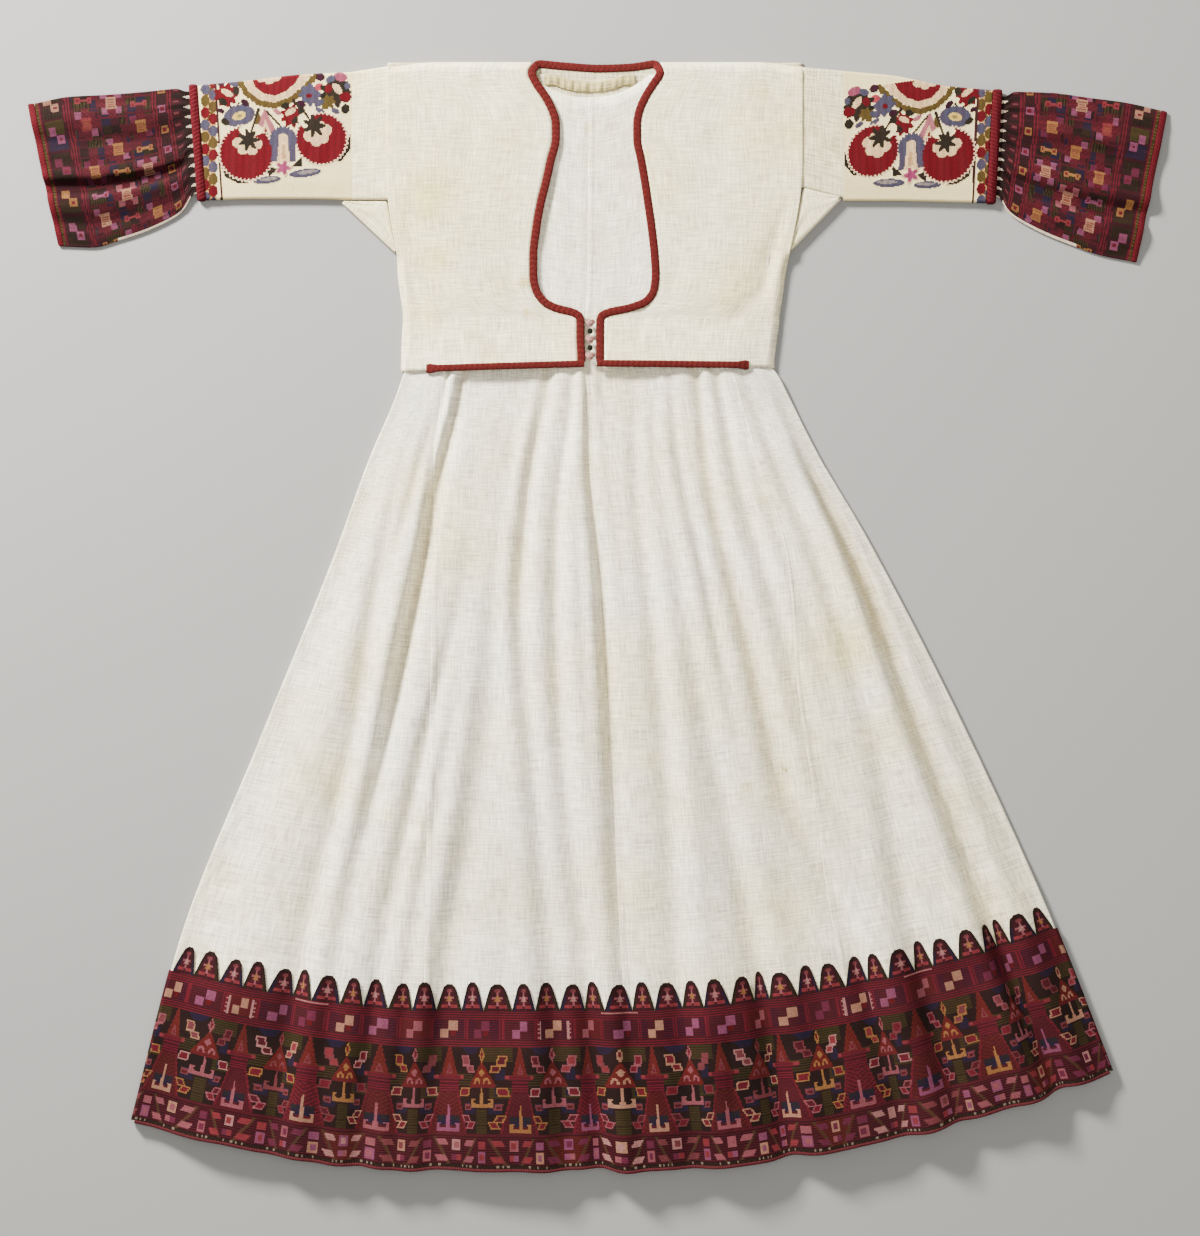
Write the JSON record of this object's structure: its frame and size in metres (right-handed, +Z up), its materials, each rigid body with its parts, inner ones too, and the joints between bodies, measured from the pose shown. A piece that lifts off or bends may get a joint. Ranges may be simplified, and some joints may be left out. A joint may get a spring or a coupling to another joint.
{
  "type": "embroidered folk dress",
  "caption": "Long cotton chemise with embroidered hem and sleeve ends under a short braided jacket, laid out flat face up.",
  "frame": {"origin": "middle of the garment's bounding box, on the surface that it lies on", "axes": "+X across the sleeves to the right of the laid-out front, +Y from the hem to the neck, +Z up off the surface"},
  "size_m": [1.1621, 1.1305, 0.0222],
  "materials": {
    "chemise_cotton": "ivory slubby plain-weave cotton",
    "jacket_cotton": "ivory plain-weave cotton, slightly yellowed",
    "worn_cotton": "greyed, yellowed plain-weave cotton",
    "border_silk": "dense counted silk embroidery, dull sheen",
    "flower_silk": "cotton with silk flower embroidery",
    "red_braid": "matte wool braid",
    "pink_thread": "knotted cotton thread"
  },
  "bodies": {
    "root": {"chemise_front_left": "chemise_cotton", "chemise_front_right": "chemise_cotton", "chemise_gore_left": "chemise_cotton", "chemise_gore_right": "chemise_cotton", "chemise_back": "worn_cotton", "chemise_neck_band": "worn_cotton", "hem_border_front": "border_silk", "hem_border_back": "border_silk", "hem_piping_front": "red_braid", "hem_piping_back": "red_braid", "jacket_front_left": "jacket_cotton", "jacket_front_right": "jacket_cotton", "jacket_back": "jacket_cotton", "neck_braid": "red_braid", "hem_braid_left": "red_braid", "hem_braid_right": "red_braid", "jacket_sleeve_strip_left": "worn_cotton", "jacket_sleeve_left": "flower_silk", "jacket_cuff_braid_left": "red_braid", "chemise_sleeve_left": "chemise_cotton", "sleeve_end_left": "border_silk", "wrist_binding_left": "red_braid", "jacket_sleeve_strip_right": "worn_cotton", "jacket_sleeve_right": "flower_silk", "jacket_cuff_braid_right": "red_braid", "chemise_sleeve_right": "chemise_cotton", "sleeve_end_right": "border_silk", "wrist_binding_right": "red_braid", "gusset_left": "jacket_cotton", "gusset_right": "jacket_cotton", "knot_button_1": "pink_thread", "knot_button_2": "pink_thread", "knot_button_3": "pink_thread"}
  },
  "joints": []
}
